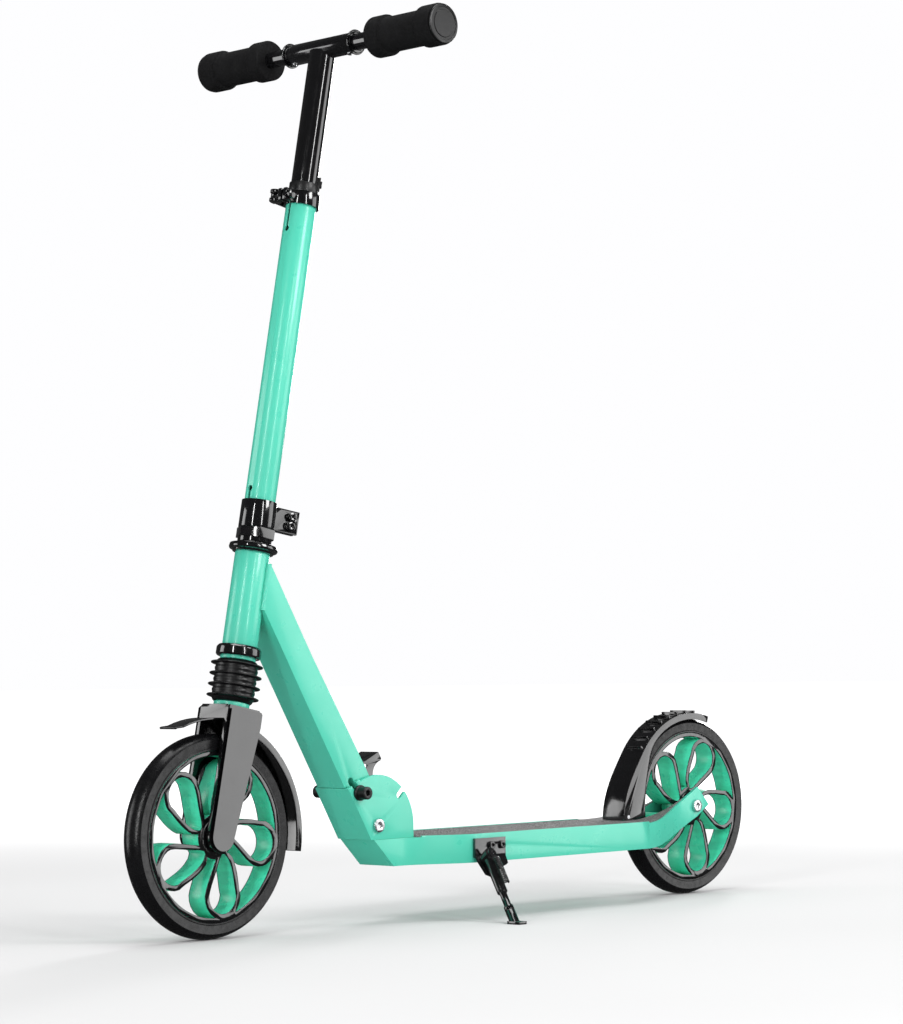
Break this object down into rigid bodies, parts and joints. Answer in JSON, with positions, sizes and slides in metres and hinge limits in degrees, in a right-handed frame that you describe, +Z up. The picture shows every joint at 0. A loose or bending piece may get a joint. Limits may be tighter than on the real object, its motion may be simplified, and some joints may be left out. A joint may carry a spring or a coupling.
{
  "type": "kick scooter",
  "caption": "Folding kick scooter with large wheels, a telescoping handlebar, front suspension, a rear foot brake and a kickstand.",
  "frame": {"origin": "on the ground, halfway between the two wheel axles, at the bottom centre of the bounding box", "axes": "+X forward along the deck, +Y to the rider's left, +Z up"},
  "size_m": [0.92, 0.348, 0.917],
  "materials": {
    "mint_paint": "satin paint",
    "black_paint": "gloss paint",
    "mint_nylon": "moulded",
    "black_gloss": "gloss",
    "black_plastic": "fine texture",
    "tyre": "smooth polyurethane",
    "rubber": "matt",
    "foam": "fine cell foam",
    "grip_tape": "coarse grit",
    "zinc": "zinc plated",
    "bearing_steel": "ground",
    "spring_steel": "drawn wire",
    "bush_nylon": "moulded"
  },
  "bodies": {
    "deck": {"deck": "mint_paint", "grip_tape": "grip_tape", "neck_bracket": "mint_paint", "fold_bolt": "zinc", "fold_nut": "zinc", "kickstand_bracket": "black_paint", "kickstand_screws": "black_paint", "kickstand_pivot": "black_paint", "rear_axle": "zinc", "rear_spacers": "zinc", "fender_pin": "zinc", "fender_spring": "spring_steel"},
    "rear_fender": {"rear_fender": "black_gloss"},
    "rear_wheel": {"rear_tyre": "tyre", "rear_rim": "mint_nylon", "rear_rim_faces": "black_gloss", "rear_bearings": "bearing_steel", "rear_hub_sleeve": "bearing_steel"},
    "kickstand": {"kickstand_leg": "black_paint", "kickstand_foot": "black_paint", "kickstand_spring": "black_paint"},
    "neck": {"down_tube": "mint_paint", "head_tube": "mint_paint", "headset_cups": "black_paint", "headset_bearings": "bearing_steel", "fold_bush": "bush_nylon", "lever_pin": "zinc"},
    "lock": {"lock_pin": "zinc", "lock_knobs": "black_plastic"},
    "release_lever": {"release_lever": "black_paint"},
    "steering": {"steerer_tube": "mint_paint", "headset_nuts": "black_paint", "column_tube": "mint_paint", "lower_clamp": "black_paint", "clamp_bolts": "black_paint", "top_clamp": "black_paint", "clamp_skewer": "black_paint", "column_collar": "black_plastic"},
    "clamp_lever": {"clamp_lever": "black_paint"},
    "height_button": {"height_button": "black_plastic"},
    "fork": {"fork": "black_paint", "fork_slider": "mint_paint", "front_fender": "black_gloss", "front_axle": "zinc", "front_spacers": "zinc", "suspension_spring": "spring_steel", "fork_boot": "rubber"},
    "front_wheel": {"front_tyre": "tyre", "front_rim": "mint_nylon", "front_rim_faces": "black_gloss", "front_bearings": "bearing_steel", "front_hub_sleeve": "bearing_steel"},
    "handlebar": {"stem": "black_paint", "sleeve_rings": "black_paint", "handle_tubes": "black_paint", "grip_left": "foam", "grip_right": "foam", "grip_caps": "foam"},
    "snap_button_left": {"snap_button_left": "zinc"},
    "snap_button_right": {"snap_button_right": "zinc"}
  },
  "joints": [
    {"name": "fold", "type": "hinge", "parent": "deck", "child": "neck", "pos_m": [0.151, 0, 0.1015], "axis": [0, -1, 0], "range_deg": [0, 83.8]},
    {"name": "release", "type": "hinge", "parent": "neck", "child": "release_lever", "pos_m": [0.15704, 0, 0.16204], "axis": [0, 1, 0], "range_deg": [0, 25]},
    {"name": "lock_slide", "type": "slide", "parent": "neck", "child": "lock", "axis": [0.515, 0, 0.8572], "range_m": [0, 0.014], "stiffness_N_per_m": 400, "springref_m": -0.01},
    {"name": "steer", "type": "hinge", "parent": "neck", "child": "steering", "pos_m": [0.29418, 0, 0.39279], "axis": [-0.1942, 0, 0.981], "continuous": true},
    {"name": "suspension", "type": "slide", "parent": "steering", "child": "fork", "axis": [-0.1942, 0, 0.981], "range_m": [0, 0.02], "stiffness_N_per_m": 8000, "springref_m": -0.01, "deforming": ["suspension_spring", "fork_boot"]},
    {"name": "front_wheel_spin", "type": "hinge", "parent": "fork", "child": "front_wheel", "pos_m": [0.36, 0, 0.1], "axis": [0, 1, 0], "continuous": true},
    {"name": "handlebar_height", "type": "slide", "parent": "steering", "child": "handlebar", "axis": [-0.1942, 0, 0.981], "range_m": [-0.125, 0]},
    {"name": "clamp_open", "type": "hinge", "parent": "steering", "child": "clamp_lever", "pos_m": [0.24881, -0.014, 0.7403], "axis": [-0.1942, 0, 0.981], "range_deg": [0, 110]},
    {"name": "height_button_press", "type": "slide", "parent": "steering", "child": "height_button", "axis": [0.7515, -0.6428, 0.1488], "range_m": [0, 0.0015], "stiffness_N_per_m": 600, "springref_m": -0.002},
    {"name": "snap_left_press", "type": "slide", "parent": "handlebar", "child": "snap_button_left", "axis": [-0.1942, 0, 0.981], "range_m": [0, 0.002], "stiffness_N_per_m": 600, "springref_m": -0.002},
    {"name": "snap_right_press", "type": "slide", "parent": "handlebar", "child": "snap_button_right", "axis": [-0.1942, 0, 0.981], "range_m": [0, 0.002], "stiffness_N_per_m": 600, "springref_m": -0.002},
    {"name": "rear_wheel_spin", "type": "hinge", "parent": "deck", "child": "rear_wheel", "pos_m": [-0.36, 0, 0.1], "axis": [0, 1, 0], "continuous": true},
    {"name": "brake", "type": "hinge", "parent": "deck", "child": "rear_fender", "pos_m": [-0.249, 0, 0.092], "axis": [0, -1, 0], "range_deg": [0, 1.3], "stiffness_Nm_per_rad": 4, "springref_deg": -11.46},
    {"name": "kickstand_swing", "type": "hinge", "parent": "deck", "child": "kickstand", "pos_m": [0.034, 0.0674, 0.065], "axis": [0, 0.766, 0.6428], "range_deg": [0, 105]}
  ],
  "couplings": [
    {"joint": "release", "follows": "lock_slide", "rad_per_m": 31.1}
  ]
}
